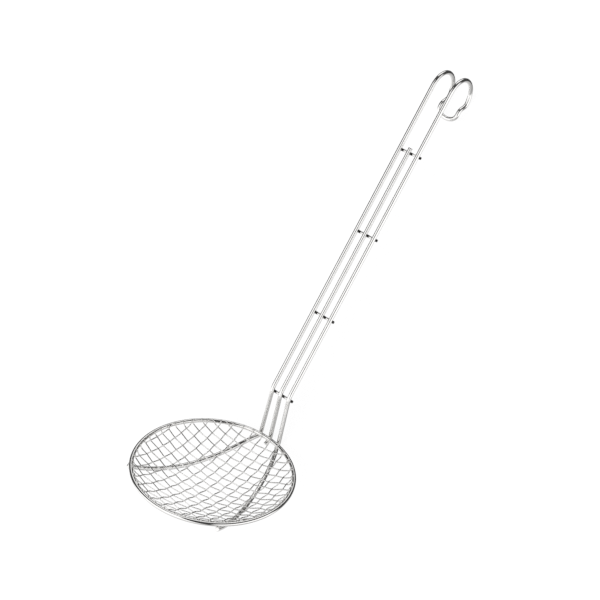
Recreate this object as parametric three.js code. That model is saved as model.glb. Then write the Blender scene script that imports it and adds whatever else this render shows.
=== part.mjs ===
// Wire skimmer: a shallow basket of crimped, woven wire in a round rim, on a long handle of three wires.
// Every piece is bent from bright plated round wire and welded to the next, so nothing on it moves.
// The outer pair of handle wires is one length of wire: it starts as a rib under the basket, runs up the
// handle, turns back as a hanging hook, crosses over and comes down again to the second rib.
//
// Millimetres and degrees. The basket frame has the middle of the rim at its origin, the rim flat in XY
// and the handle rising towards +X. The finished skimmer is turned to lie on its back, as on a table:
// its lowest points are at Z = 0, and the middle of its box is over the origin.

import * as THREE from 'three';

// Wires, by diameter
const HANDLE_WIRE = 4.2;
const BAR_WIRE = 2.7;
const RIM_WIRE = 4.0;
const MESH_WIRE = 1.2;
const WELD_GAP = 0.3; // left between two welded pieces, so that each stays a solid of its own

// Basket
const RIM_RADIUS = 76.2; // to the middle of the rim wire
const BASKET_DEPTH = 24; // from the rim's plane down to the mesh
const SHORTEST_MESH_WIRE = 50; // the chord under which no wire is woven in beside the rim

// Mesh: wires that run along the handle's direction, and wires that run across it. A wire is named by the
// side of its family's middle wire that it lies on, and counted from there.
const LONG_WIRES = {
  name: 'long_wire',
  sides: ['left', 'right'],
  turn: 2, // from the handle's direction, in plan
  pitch: 10.4, // along the dish
  shift: 2.9, // of the middle wire from the middle of the dish
  over: -1, // 1 or -1: which of the two families passes inside where both middle wires cross
};
const CROSS_WIRES = {
  name: 'cross_wire',
  sides: ['far', 'near'],
  turn: 96,
  pitch: 8.1,
  shift: 3.5,
  over: 1,
};

// Handle, in side view
const WIRE_SPACING = 10.5; // centre wire to outer wire
const FOOT_SPREAD = 1.1; // how much further apart the outer wires stand at the rim
const LOWER_LEAN = 83.3; // lower part, above the rim's plane
const HANDLE_LEAN = 57; // long part, above the rim's plane
const BEND_HEIGHT = 49.6; // where the two parts would meet, above the rim's plane
const BEND_RADIUS = 18;
const HANDLE_LENGTH = 325; // from the middle of the bend to the start of the hook
const CENTRE_WIRE_LENGTH = 262.5; // from the middle of the bend to the centre wire's cut end
const CENTRE_STUB = 4.5; // how far the centre wire reaches in under the rim

// Cross bars, on the back of the handle
const BAR_COUNT = 4;
const BAR_PITCH = 87.5;
const LOWEST_BAR = -4.5; // from the middle of the bend
const BAR_OVERHANG = 0.4; // past the outer wires

// Hook, which turns towards the back
const HOOK_RADIUS = 18.9;
const HOOK_TUCK = 6.5; // how far the return legs step back in towards the handle
const HOOK_TUCK_LENGTH = 9.5;
const HOOK_TAIL = 3.2; // straight end of each return leg
const HOOK_END_DEPTH = 7.6; // of the rounded end that joins the two legs
const HOOK_END_TILT = 20;

// Ribs under the basket, seen from above
const RIB_LEAVES = 42; // away from the handle's line, at the rim by the handle
const RIB_ARRIVES = 16; // away from the handle's line, at the far rim
const RIB_TIP_BEARING = 133; // round the rim from the handle to a rib's cut tip

// Facets
const HANDLE_SIDES = 8;
const BAR_SIDES = 8;
const MESH_SIDES = 5;
const RIM_SIDES = 10;
const RIM_STEPS = 72;
const RIB_STEPS = 12;
const RIM_TURN_STEPS = 3;
const BEND_STEPS = 4;
const HOOK_STEPS = 12;
const TUCK_STEPS = 4;
const HOOK_END_STEPS = 5;

const PLATED = { color: 0xd6d4ce, metalness: 1, roughness: 0.16 };
const PLATED_MESH = { color: 0xcfcdc7, metalness: 1, roughness: 0.22 };

const rad = THREE.MathUtils.degToRad;
const handleRadius = HANDLE_WIRE / 2;
const rimRadius = RIM_WIRE / 2;
const meshRadius = MESH_WIRE / 2;

// The basket's dish is part of a sphere through the middle of the rim wire.
const dishRadius = (RIM_RADIUS ** 2 + BASKET_DEPTH ** 2) / (2 * BASKET_DEPTH);
const dishCentre = new THREE.Vector3(0, 0, dishRadius - BASKET_DEPTH);
const rimSlope = Math.asin(RIM_RADIUS / dishRadius);

// A woven wire rises and falls by this much on either side of the dish.
const crimp = meshRadius + WELD_GAP / 2;

// From the middle of the rim wire to the middle of a handle wire that is welded to its outside.
const rimToHandle = rimRadius + WELD_GAP + handleRadius;

// A curve through given points, with one ring of the extruded wire at each point.
class WirePath extends THREE.Curve {
  constructor(points) {
    super();
    this.points = points;
  }

  getPoint(t, target = new THREE.Vector3()) {
    const place = t * (this.points.length - 1);
    const roundOff = 1e-6; // so that a ring's own place isn't counted to the stretch before it
    const before = Math.min(Math.floor(place + roundOff), this.points.length - 2);
    return target.lerpVectors(this.points[before], this.points[before + 1], place - before);
  }

  getPointAt(t, target) {
    return this.getPoint(t, target);
  }

  getTangentAt(t, target = new THREE.Vector3()) {
    const index = Math.round(t * (this.points.length - 1));
    const before = this.points[Math.max(index - 1, 0)];
    const after = this.points[Math.min(index + 1, this.points.length - 1)];
    return target.subVectors(after, before).normalize();
  }
}

function wireGeometry(points, diameter, sides) {
  const section = new THREE.Shape();
  for (let side = 0; side < sides; side += 1) {
    const angle = (2 * Math.PI * side) / sides;
    const x = (diameter / 2) * Math.cos(angle);
    const y = (diameter / 2) * Math.sin(angle);
    if (side === 0) section.moveTo(x, y);
    else section.lineTo(x, y);
  }
  return new THREE.ExtrudeGeometry(section, {
    steps: points.length - 1,
    extrudePath: new WirePath(points),
    bevelEnabled: false,
  });
}

function piece(name, geometry, finish) {
  const mesh = new THREE.Mesh(geometry, new THREE.MeshStandardMaterial(finish));
  mesh.name = name;
  return mesh;
}

// The point of the dish over a place in plan, lifted by so much towards the inside of the basket.
function dishPoint(x, y, lift) {
  const height = dishCentre.z - Math.sqrt(dishRadius ** 2 - x ** 2 - y ** 2);
  const point = new THREE.Vector3(x, y, height);
  const inward = new THREE.Vector3().subVectors(dishCentre, point).normalize();
  return point.addScaledVector(inward, lift);
}

// Rim

function rimRing() {
  return new THREE.TorusGeometry(RIM_RADIUS, rimRadius, RIM_SIDES, RIM_STEPS);
}

// Mesh: each wire is a straight line in plan, so it lies in an upright plane.

function planeOf(family) {
  const turn = rad(family.turn);
  return {
    along: new THREE.Vector2(Math.cos(turn), Math.sin(turn)),
    across: new THREE.Vector2(-Math.sin(turn), Math.cos(turn)),
  };
}

// The wires of a family, evenly spaced over the curve of the dish, as distances from its middle in plan.
function wireLines(family, reach) {
  const lines = [];
  const last = Math.ceil((dishRadius * Math.PI) / 2 / family.pitch);
  for (let index = -last; index <= last; index += 1) {
    const arc = family.shift + index * family.pitch;
    const offset = dishRadius * Math.sin(arc / dishRadius);
    if (Math.abs(arc) < (dishRadius * Math.PI) / 2 && Math.abs(offset) < reach) {
      lines.push({ index, offset });
    }
  }
  return lines;
}

// Where a wire crosses those of the other family, and on which side of the dish it passes there.
function crossings(family, line, other) {
  const own = planeOf(family);
  const theirs = planeOf(other);
  return wireLines(other, dishRadius)
    .map((wire) => ({
      place: (wire.offset - line.offset * theirs.across.dot(own.across)) / theirs.across.dot(own.along),
      lift: crimp * family.over * ((line.index + wire.index) % 2 === 0 ? 1 : -1),
    }))
    .sort((a, b) => a.place - b.place);
}

function liftAt(crossed, place) {
  const after = crossed.findIndex((crossing) => crossing.place > place);
  const from = crossed[after - 1];
  const to = crossed[after];
  return THREE.MathUtils.mapLinear(place, from.place, to.place, from.lift, to.lift);
}

// A woven wire runs from rim to rim, bending over and under at each crossing, and is welded to the
// inside of the rim wire at both ends. An oblique wire stops sooner, so that its cut end stays clear.
function wovenWire(family, line, other) {
  const { along, across } = planeOf(family);
  const endGap = rimRadius + WELD_GAP + (meshRadius * Math.abs(line.offset)) / RIM_RADIUS;
  const endRadius = RIM_RADIUS - endGap * Math.cos(rimSlope);
  const reach = Math.sqrt(endRadius ** 2 - line.offset ** 2);
  const crossed = crossings(family, line, other);
  const between = crossed.filter((crossing) => Math.abs(crossing.place) < reach - WELD_GAP);
  const ends = [-reach, reach].map((place) => ({ place, lift: liftAt(crossed, place) }));
  const points = [ends[0], ...between, ends[1]].map(({ place, lift }) => {
    const x = across.x * line.offset + along.x * place;
    const y = across.y * line.offset + along.y * place;
    return dishPoint(x, y, lift);
  });
  return wireGeometry(points, MESH_WIRE, MESH_SIDES);
}

function wireName(family, line) {
  if (line.index === 0) return `${family.name}_middle`;
  const side = line.index > 0 ? family.sides[0] : family.sides[1];
  return `${family.name}_${side}_${Math.abs(line.index)}`;
}

function wovenFamily(family, other) {
  const reach = Math.sqrt(RIM_RADIUS ** 2 - (SHORTEST_MESH_WIRE / 2) ** 2);
  return wireLines(family, reach).map((line) => {
    return piece(wireName(family, line), wovenWire(family, line, other), PLATED_MESH);
  });
}

// Handle: its side view is a lower part, a bend and a long part, measured along the wire from the
// middle of the bend.

const lowerDirection = new THREE.Vector2(Math.cos(rad(LOWER_LEAN)), Math.sin(rad(LOWER_LEAN)));
const handleDirection = new THREE.Vector2(Math.cos(rad(HANDLE_LEAN)), Math.sin(rad(HANDLE_LEAN)));
const footX = RIM_RADIUS + rimToHandle * Math.sin(rad(LOWER_LEAN));
const footZ = -rimToHandle * Math.cos(rad(LOWER_LEAN));
const bendCorner = new THREE.Vector2(
  footX + (BEND_HEIGHT - footZ) / Math.tan(rad(LOWER_LEAN)),
  BEND_HEIGHT,
);
const bendAngle = rad(LOWER_LEAN - HANDLE_LEAN);
const bendHalf = (BEND_RADIUS * bendAngle) / 2;
const bendSetback = BEND_RADIUS * Math.tan(bendAngle / 2);
const bendStart = bendCorner.clone().addScaledVector(lowerDirection, -bendSetback);
const bendEnd = bendCorner.clone().addScaledVector(handleDirection, bendSetback);

// The place on the side view at a distance along the wire, moved by so much towards the handle's back.
function profilePoint(distance, back = 0) {
  const turned = THREE.MathUtils.clamp((distance + bendHalf) / (2 * bendHalf), 0, 1) * bendAngle;
  const lean = rad(LOWER_LEAN) - turned;
  const backDirection = new THREE.Vector2(Math.sin(lean), -Math.cos(lean));
  const point = new THREE.Vector2();
  if (distance >= bendHalf) {
    point.copy(bendEnd).addScaledVector(handleDirection, distance - bendHalf);
  } else if (distance <= -bendHalf) {
    point.copy(bendStart).addScaledVector(lowerDirection, distance + bendHalf);
  } else {
    const startBack = new THREE.Vector2(lowerDirection.y, -lowerDirection.x);
    point.copy(bendStart).addScaledVector(startBack, BEND_RADIUS);
    point.addScaledVector(backDirection, -BEND_RADIUS);
  }
  return point.addScaledVector(backDirection, back);
}

function onHandle(distance, y, back = 0) {
  const point = profilePoint(distance, back);
  return new THREE.Vector3(point.x, y, point.y);
}

function bendPoints(y) {
  const points = [];
  for (let step = 0; step <= BEND_STEPS; step += 1) {
    const distance = THREE.MathUtils.lerp(-bendHalf, bendHalf, step / BEND_STEPS);
    points.push(onHandle(distance, y));
  }
  return points;
}

// From under the rim round its outside to the foot of the lower part, in the upright plane through the
// rim's axis at this bearing.
function rimTurn(bearing) {
  const points = [];
  const under = -(Math.PI / 2 - rimSlope);
  const outside = -(Math.PI / 2 - rad(LOWER_LEAN));
  for (let step = 1; step <= RIM_TURN_STEPS; step += 1) {
    const angle = THREE.MathUtils.lerp(under, outside, step / RIM_TURN_STEPS);
    const radius = RIM_RADIUS + rimToHandle * Math.cos(angle);
    const height = rimToHandle * Math.sin(angle);
    points.push(new THREE.Vector3(radius * Math.cos(bearing), radius * Math.sin(bearing), height));
  }
  return points;
}

// A wire under the basket touches the mesh in the middle, and drops to pass below the rim wire.
function underBasket(x, y) {
  const belowMesh = crimp + meshRadius + WELD_GAP + handleRadius;
  const nearRim = Math.min(Math.hypot(x, y) / RIM_RADIUS, 1) ** 4;
  return dishPoint(x, y, -THREE.MathUtils.lerp(belowMesh, rimToHandle, nearRim));
}

// Ribs: a smooth curve in plan that leaves the handle's line at one angle and arrives at the far rim at
// another, from the cut tip towards the handle.
function ribPoints(bearing) {
  const tip = rad(RIB_TIP_BEARING);
  const start = new THREE.Vector2(Math.cos(bearing), Math.sin(bearing)).multiplyScalar(RIM_RADIUS);
  const end = new THREE.Vector2(Math.cos(tip), Math.sin(tip)).multiplyScalar(RIM_RADIUS);
  const leaving = Math.tan(rad(RIB_LEAVES));
  const arriving = Math.tan(rad(RIB_ARRIVES));
  const cornerX = (start.y - end.y + leaving * start.x - arriving * end.x) / (leaving - arriving);
  const corner = new THREE.Vector2(cornerX, start.y + leaving * (start.x - cornerX));
  const plan = new THREE.QuadraticBezierCurve(end, corner, start);
  return plan.getPoints(RIB_STEPS).map((point) => underBasket(point.x, point.y));
}

// Hook: half a turn towards the back, a step back in towards the handle, and half of the rounded end.
function hookPoints() {
  const points = [];
  for (let step = 0; step <= HOOK_STEPS; step += 1) {
    const angle = (Math.PI * step) / HOOK_STEPS;
    const distance = HANDLE_LENGTH + HOOK_RADIUS * Math.sin(angle);
    points.push(onHandle(distance, WIRE_SPACING, HOOK_RADIUS * (1 - Math.cos(angle))));
  }
  for (let step = 1; step <= TUCK_STEPS; step += 1) {
    const share = step / TUCK_STEPS;
    const back = 2 * HOOK_RADIUS - HOOK_TUCK * THREE.MathUtils.smoothstep(share, 0, 1);
    points.push(onHandle(HANDLE_LENGTH - HOOK_TUCK_LENGTH * share, WIRE_SPACING, back));
  }
  const tail = HANDLE_LENGTH - HOOK_TUCK_LENGTH - HOOK_TAIL;
  const tailBack = 2 * HOOK_RADIUS - HOOK_TUCK;
  for (let step = 0; step <= HOOK_END_STEPS; step += 1) {
    const angle = ((Math.PI / 2) * step) / HOOK_END_STEPS;
    const depth = HOOK_END_DEPTH * Math.sin(angle);
    const distance = tail - depth * Math.cos(rad(HOOK_END_TILT));
    const back = tailBack + depth * Math.sin(rad(HOOK_END_TILT));
    points.push(onHandle(distance, WIRE_SPACING * Math.cos(angle), back));
  }
  return points;
}

function handleWire() {
  const footBearing = Math.asin((WIRE_SPACING + FOOT_SPREAD) / footX);
  const half = [
    ...ribPoints(footBearing),
    ...rimTurn(footBearing),
    ...bendPoints(WIRE_SPACING),
    ...hookPoints(),
  ];
  const otherHalf = half.slice(0, -1).reverse().map((point) => new THREE.Vector3(point.x, -point.y, point.z));
  return wireGeometry([...half, ...otherHalf], HANDLE_WIRE, HANDLE_SIDES);
}

function centreWire() {
  const points = [
    underBasket(RIM_RADIUS - CENTRE_STUB, 0),
    underBasket(RIM_RADIUS, 0),
    ...rimTurn(0),
    ...bendPoints(0),
    onHandle(CENTRE_WIRE_LENGTH, 0),
  ];
  return wireGeometry(points, HANDLE_WIRE, HANDLE_SIDES);
}

function crossBar(distance) {
  const back = handleRadius + WELD_GAP + BAR_WIRE / 2;
  const halfLength = WIRE_SPACING + handleRadius + BAR_OVERHANG;
  const ends = [onHandle(distance, -halfLength, back), onHandle(distance, halfLength, back)];
  return wireGeometry(ends, BAR_WIRE, BAR_SIDES);
}

// Lying on its back, the skimmer rests on the ribs where they turn under the rim and on the hook. The
// tilt that brings both down to the table is found by halving the range that it lies in.

function cornersOf(group) {
  const corners = [];
  group.updateMatrixWorld(true);
  group.traverse((child) => {
    if (!child.isMesh) return;
    const places = child.geometry.attributes.position;
    for (let index = 0; index < places.count; index += 1) {
      corners.push(new THREE.Vector3().fromBufferAttribute(places, index).applyMatrix4(child.matrixWorld));
    }
  });
  return corners;
}

function lyingTilt(corners) {
  const halvings = 40;
  let low = 0;
  let high = Math.PI / 2;
  for (let step = 0; step < halvings; step += 1) {
    const tilt = (low + high) / 2;
    let lowest = corners[0];
    let lowestHeight = Infinity;
    corners.forEach((corner) => {
      const height = corner.z * Math.cos(tilt) - corner.x * Math.sin(tilt);
      if (height < lowestHeight) {
        lowestHeight = height;
        lowest = corner;
      }
    });
    if (lowest.z > BEND_HEIGHT) high = tilt;
    else low = tilt;
  }
  return low;
}

function layOnTable(group) {
  group.rotation.y = lyingTilt(cornersOf(group));
  const box = new THREE.Box3().setFromPoints(cornersOf(group));
  const middle = box.getCenter(new THREE.Vector3());
  group.position.set(-middle.x, -middle.y, -box.min.z);
}

const basketFrame = new THREE.Group();
basketFrame.add(piece('rim_ring', rimRing(), PLATED));
basketFrame.add(...wovenFamily(LONG_WIRES, CROSS_WIRES));
basketFrame.add(...wovenFamily(CROSS_WIRES, LONG_WIRES));
basketFrame.add(piece('handle_wire', handleWire(), PLATED));
basketFrame.add(piece('centre_wire', centreWire(), PLATED));
for (let bar = 0; bar < BAR_COUNT; bar += 1) {
  basketFrame.add(piece(`cross_bar_${bar + 1}`, crossBar(LOWEST_BAR + bar * BAR_PITCH), PLATED));
}
layOnTable(basketFrame);

const skimmer = new THREE.Group();
skimmer.add(basketFrame);

export default skimmer;
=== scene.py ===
# %% [markdown]
# # A wire skimmer, bent and welded from bright round wire
# A skimmer lifts fried or boiled food out of a pan and lets the liquid run off. This one has a shallow
# round basket of woven wire in a rim ring, and a long handle of three wires that ends in a hanging hook.
# Nothing on it is cast, turned or moulded: every piece is a length of nickel-plated steel wire, bent and
# then welded to the next one.
#
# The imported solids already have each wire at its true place, but with few, flat sides. This lesson puts
# a smooth, plated wire in the place of each solid, and adds what only shows close up: the crimps of the
# mesh, its ends that fold over the rim, the weld beads and the rounded cut ends.

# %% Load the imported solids
import math

import bpy
import numpy as np
from mathutils import Matrix, Vector


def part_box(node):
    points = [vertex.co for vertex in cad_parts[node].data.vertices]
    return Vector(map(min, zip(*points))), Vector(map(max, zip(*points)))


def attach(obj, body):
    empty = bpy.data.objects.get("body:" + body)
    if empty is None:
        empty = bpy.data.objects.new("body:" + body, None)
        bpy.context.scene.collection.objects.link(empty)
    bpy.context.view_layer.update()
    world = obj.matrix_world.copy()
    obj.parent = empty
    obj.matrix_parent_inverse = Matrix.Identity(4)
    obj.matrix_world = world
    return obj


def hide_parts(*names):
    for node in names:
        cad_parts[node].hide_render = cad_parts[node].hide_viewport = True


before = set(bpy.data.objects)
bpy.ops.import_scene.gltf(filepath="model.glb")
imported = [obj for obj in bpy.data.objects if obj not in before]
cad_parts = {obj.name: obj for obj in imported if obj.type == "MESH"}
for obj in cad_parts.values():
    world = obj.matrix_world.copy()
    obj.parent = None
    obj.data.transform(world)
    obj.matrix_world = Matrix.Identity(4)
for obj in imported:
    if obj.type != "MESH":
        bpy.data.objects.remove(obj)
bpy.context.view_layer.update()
print("packed nodes:", len(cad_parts))

# %% [markdown]
# ## The driving sizes
# A wire product is drawn with few sizes: the wire diameters, the basket's radius and depth, the spacing
# of the wires and the bends of the handle, as seen from the side. They are repeated here from the
# solids, so that a smooth wire follows the same line as its solid. Lengths are in metres, as everywhere
# in Blender, and angles in radians.

# %% Wire diameters and the basket
MM = 0.001
HANDLE_WIRE = 4.2 * MM
BAR_WIRE = 2.7 * MM
RIM_WIRE = 4.0 * MM
MESH_WIRE = 1.2 * MM
WELD_GAP = 0.3 * MM

RIM_RADIUS = 76.2 * MM
BASKET_DEPTH = 24.0 * MM
SHORTEST_MESH_WIRE = 50.0 * MM

handle_radius = HANDLE_WIRE / 2
bar_radius = BAR_WIRE / 2
rim_radius = RIM_WIRE / 2
mesh_radius = MESH_WIRE / 2
dish_radius = (RIM_RADIUS**2 + BASKET_DEPTH**2) / (2 * BASKET_DEPTH)
dish_centre = dish_radius - BASKET_DEPTH
rim_slope = math.asin(RIM_RADIUS / dish_radius)
crimp = mesh_radius + WELD_GAP / 2
rim_to_handle = rim_radius + WELD_GAP + handle_radius
print(f"the dish is part of a sphere of {dish_radius / MM:.1f} mm radius")

# %% The two families of mesh wires
LONG_WIRES = {
    "name": "long_wire",
    "sides": ("left", "right"),
    "turn": math.radians(2),
    "pitch": 10.4 * MM,
    "shift": 2.9 * MM,
    "over": -1,
}
CROSS_WIRES = {
    "name": "cross_wire",
    "sides": ("far", "near"),
    "turn": math.radians(96),
    "pitch": 8.1 * MM,
    "shift": 3.5 * MM,
    "over": 1,
}

# %% The handle, its hook and the ribs under the basket
WIRE_SPACING = 10.5 * MM
FOOT_SPREAD = 1.1 * MM
LOWER_LEAN = math.radians(83.3)
HANDLE_LEAN = math.radians(57)
BEND_HEIGHT = 49.6 * MM
BEND_RADIUS = 18.0 * MM
HANDLE_LENGTH = 325.0 * MM
CENTRE_WIRE_LENGTH = 262.5 * MM
CENTRE_STUB = 4.5 * MM

BAR_COUNT = 4
BAR_PITCH = 87.5 * MM
LOWEST_BAR = -4.5 * MM
BAR_OVERHANG = 0.4 * MM

HOOK_RADIUS = 18.9 * MM
HOOK_TUCK = 6.5 * MM
HOOK_TUCK_LENGTH = 9.5 * MM
HOOK_TAIL = 3.2 * MM
HOOK_END_DEPTH = 7.6 * MM
HOOK_END_TILT = math.radians(20)

RIB_LEAVES = math.radians(42)
RIB_ARRIVES = math.radians(16)
RIB_TIP_BEARING = math.radians(133)

# %% [markdown]
# ## From the basket's own frame to the table
# The wires are easiest to describe with the rim level: its middle is the origin, the rim lies in XY and
# the handle rises towards +X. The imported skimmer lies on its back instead. The turn between the two is
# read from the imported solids, so that nothing has to be fitted by eye: the rim's box gives the origin,
# and the line through two cross bars gives the slope of the handle.


# %% The turn and the shift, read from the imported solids
def box_middle(node):
    """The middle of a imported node's box: half the sum of its lowest and its highest corner."""
    low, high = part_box(node)
    return (np.array(low) + np.array(high)) / 2


rim_middle = box_middle("rim_ring")
handle_run = box_middle("cross_bar_4") - box_middle("cross_bar_2")
lying_tilt = HANDLE_LEAN - math.atan2(handle_run[2], handle_run[0])
basket_to_table = np.array(
    [
        [math.cos(lying_tilt), 0.0, math.sin(lying_tilt)],
        [0.0, 1.0, 0.0],
        [-math.sin(lying_tilt), 0.0, math.cos(lying_tilt)],
    ]
)


def lay_on_table(points):
    """Points of the basket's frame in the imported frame: turned about Y by the tilt, then shifted."""
    return points @ basket_to_table.T + rim_middle


print(f"the basket is tipped by {math.degrees(lying_tilt):.2f} degrees")

# %% [markdown]
# ## The camera
# The photograph was taken with a long lens from above and in front of the basket, with the handle
# rising to the upper right. Its place was found by matching the rim's ellipse, the handle and the bars
# with the drawing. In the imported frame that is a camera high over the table, rolled to its side.

# %% Set the camera
CAMERA_AZIMUTH = math.radians(3.692)
CAMERA_ELEVATION = math.radians(59.670)
CAMERA_ROLL = math.radians(-64.167)
CAMERA_AIM = Vector((-18.74 * MM, 23.63 * MM, 40.0 * MM))
CAMERA_DISTANCE = 1423.3 * MM
CAMERA_LENS = 89.67
SENSOR_WIDTH = 36.0


def put_in_scene(name, data):
    """A new object of the scene with the given data."""
    thing = bpy.data.objects.new(name, data)
    bpy.context.scene.collection.objects.link(thing)
    return thing


camera_data = bpy.data.cameras.new("camera")
camera_data.lens = CAMERA_LENS
camera_data.sensor_width = SENSOR_WIDTH
camera = put_in_scene("camera", camera_data)
camera_turn = (
    Matrix.Rotation(CAMERA_AZIMUTH, 3, "Z")
    @ Matrix.Rotation(math.pi / 2 - CAMERA_ELEVATION, 3, "X")
    @ Matrix.Rotation(CAMERA_ROLL, 3, "Z")
)
camera_back = camera_turn.col[2]
camera.matrix_world = Matrix.LocRotScale(CAMERA_AIM + camera_back * CAMERA_DISTANCE, camera_turn, None)
bpy.context.scene.camera = camera
print("camera at", tuple(round(value, 4) for value in camera.matrix_world.translation))

# %% [markdown]
# ## A wire along any path
# A bent wire is a circle carried along a path. Blender could do it with a curve and a bevel, but here
# the rings are worked out as arrays: then each vertex also knows how far along and around the wire it
# is, which the plating's drawing lines need, and the ends can be shaped as real cut ends.
#
# The steps are: spread points evenly along the path, soften its corners as a bending tool would, place
# more rings where the wire turns, carry a sideways direction along without twisting it, and lay the
# circle round each point.


# %% Even, softened paths
def unit(vectors):
    """Vectors divided by their own lengths."""
    return vectors / np.linalg.norm(vectors, axis=-1, keepdims=True)


def running_length(points):
    """The length along a line of points, added up from its start."""
    steps = np.linalg.norm(np.diff(points, axis=0), axis=1)
    return np.concatenate([[0.0], np.cumsum(steps)])


def read_along(points, lengths, wanted):
    """Points at wanted lengths along a line, read off coordinate by coordinate."""
    return np.stack([np.interp(wanted, lengths, points[:, axis]) for axis in range(3)], axis=1)


PATH_STEP = 0.25 * MM
BELL_REACH = 3


def softened(points, spread):
    """A path of even steps with its corners rounded. Each point is the mean of its neighbours, weighted
    by a bell curve of the given spread, which is followed to three spreads on each side. The path is
    continued past each end by its own mirror image through the end point, so that the ends stay where
    they are."""
    lengths = running_length(points)
    count = int(round(lengths[-1] / PATH_STEP)) + 1
    even = read_along(points, lengths, np.linspace(0.0, lengths[-1], count))
    reach = min(int(BELL_REACH * spread / PATH_STEP), count - 1)
    bell = np.exp(-0.5 * (np.arange(-reach, reach + 1) * PATH_STEP / spread) ** 2)
    bell /= bell.sum()
    before = 2 * even[0] - even[reach:0:-1]
    after = 2 * even[-1] - even[-2 : -reach - 2 : -1]
    padded = np.concatenate([before, even, after])
    return np.stack([np.convolve(padded[:, axis], bell, "valid") for axis in range(3)], axis=1)


def ring_centres(path, longest_step, sharpest_turn):
    """Points of an even path, closer together where it turns. Every step adds its share of the longest
    step and its share of the sharpest turn, and the rings sit at whole numbers of that sum."""
    direction = unit(np.diff(path, axis=0))
    turn = np.arccos(np.clip((direction[1:] * direction[:-1]).sum(axis=1), -1.0, 1.0))
    steps = np.linalg.norm(np.diff(path, axis=0), axis=1)
    share = steps / longest_step
    share[1:] += turn / sharpest_turn
    total = np.concatenate([[0.0], np.cumsum(share)])
    return read_along(path, total, np.linspace(0.0, total[-1], int(math.ceil(total[-1])) + 1))


# %% Rings round a path
def carried_sideways(direction):
    """One sideways unit vector for each ring, carried along the path without twisting.
    A rough sideways vector is square to the direction and to the axis that the direction leans on least.
    The turn from one direction to the next is applied to it, the angle to the next rough vector is
    measured, and the sum of those angles is taken off again."""
    rough = unit(np.cross(np.eye(3)[np.abs(direction).argmin(axis=1)], direction))
    hinge = np.cross(direction[:-1], direction[1:])
    cosine = (direction[:-1] * direction[1:]).sum(axis=1, keepdims=True)
    share = (hinge * rough[:-1]).sum(axis=1, keepdims=True) / (1.0 + cosine)
    carried = rough[:-1] * cosine + np.cross(hinge, rough[:-1]) + hinge * share
    square = np.cross(direction[1:], carried)
    slip = np.arctan2((square * rough[1:]).sum(axis=1), (carried * rough[1:]).sum(axis=1))
    twist = np.concatenate([[0.0], np.cumsum(slip)])[:, None]
    return rough * np.cos(twist) - np.cross(direction, rough) * np.sin(twist)


def rings(centres, direction, sideways, radii, sides):
    """A grid of points: ring i is a circle of radius i round centre i, square to direction i."""
    angle = np.linspace(0.0, 2 * np.pi, sides, endpoint=False)[None, :, None]
    other = np.cross(direction, sideways)
    outward = np.cos(angle) * sideways[:, None, :] + np.sin(angle) * other[:, None, :]
    return centres[:, None, :] + radii[:, None, None] * outward


CUT_STEPS = 4


def with_cut_ends(centres, direction, sideways, radius, corner):
    """Rings of a wire with two cut ends: the edge of the flat face is rounded over a quarter circle of
    the corner's radius, so a ring at angle a lies corner * (1 - sin a) short of the end and has a radius
    that is corner * (1 - cos a) smaller."""
    angle = np.linspace(0.0, np.pi / 2, CUT_STEPS)
    short = corner * (1.0 - np.sin(angle))[:, None]
    narrow = radius - corner * (1.0 - np.cos(angle))
    first = centres[0] + short[::-1] * direction[0]
    last = centres[-1] - short * direction[-1]
    along = running_length(centres)
    clear = 2 * corner
    kept = (along > clear) & (along < along[-1] - clear)
    repeat = np.ones((CUT_STEPS, 1))
    return (
        np.concatenate([first, centres[kept], last]),
        np.concatenate([repeat * direction[0], direction[kept], repeat * direction[-1]]),
        np.concatenate([repeat * sideways[0], sideways[kept], repeat * sideways[-1]]),
        np.concatenate([narrow[::-1], np.full(kept.sum(), radius), narrow]),
    )


# %% [markdown]
# ## From rings to a piece
# A piece keeps three things at each vertex: its place, its grain and its weld. The grain is a place in
# a straightened copy of the wire, so that lines can run along a wire through every bend. The weld is 1
# at a weld and fades out over a few millimetres, where plating is always a little duller. On the bars it
# also marks painted shade, nearly black, beside each handle wire.


# %% Shapes as arrays
def grid_faces(ring_count, sides, closed):
    """The quads of a grid whose rings close on themselves and, where closed, meet end to end too. The
    corners go round the ring first and then along it, which makes the faces point outwards."""
    ring = np.arange(ring_count if closed else ring_count - 1)[:, None]
    side = np.arange(sides)[None, :]
    next_ring = (ring + 1) % ring_count
    next_side = (side + 1) % sides
    corners = [
        ring * sides + side,
        ring * sides + next_side,
        next_ring * sides + next_side,
        next_ring * sides + side,
    ]
    return np.stack(np.broadcast_arrays(*corners), axis=-1).reshape(-1, 4)


def capped_shape(grid, grain):
    """A closed shape from a grid of rings: a fan of triangles joins each end ring to the point in its
    middle."""
    ring_count, sides, _ = grid.shape
    points = np.concatenate([grid.reshape(-1, 3), [grid[0].mean(axis=0), grid[-1].mean(axis=0)]])
    grains = np.concatenate([grain.reshape(-1, 3), [grain[0].mean(axis=0), grain[-1].mean(axis=0)]])
    side = np.arange(sides)
    next_side = (side + 1) % sides
    last = (ring_count - 1) * sides
    start_fan = np.stack([np.full(sides, ring_count * sides), next_side, side], axis=1)
    end_fan = np.stack([np.full(sides, ring_count * sides + 1), last + side, last + next_side], axis=1)
    faces = grid_faces(ring_count, sides, False).tolist() + start_fan.tolist() + end_fan.tolist()
    return {"points": points, "grain": grains, "faces": faces}


def joined(shapes):
    """Several shapes as one: the faces of each count on from the points of those before it."""
    starts = np.cumsum([0] + [len(shape["points"]) for shape in shapes])
    faces = []
    for shape, start in zip(shapes, starts):
        faces += [[corner + int(start) for corner in face] for face in shape["faces"]]
    return {
        "points": np.concatenate([shape["points"] for shape in shapes]),
        "grain": np.concatenate([shape["grain"] for shape in shapes]),
        "faces": faces,
    }


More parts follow.
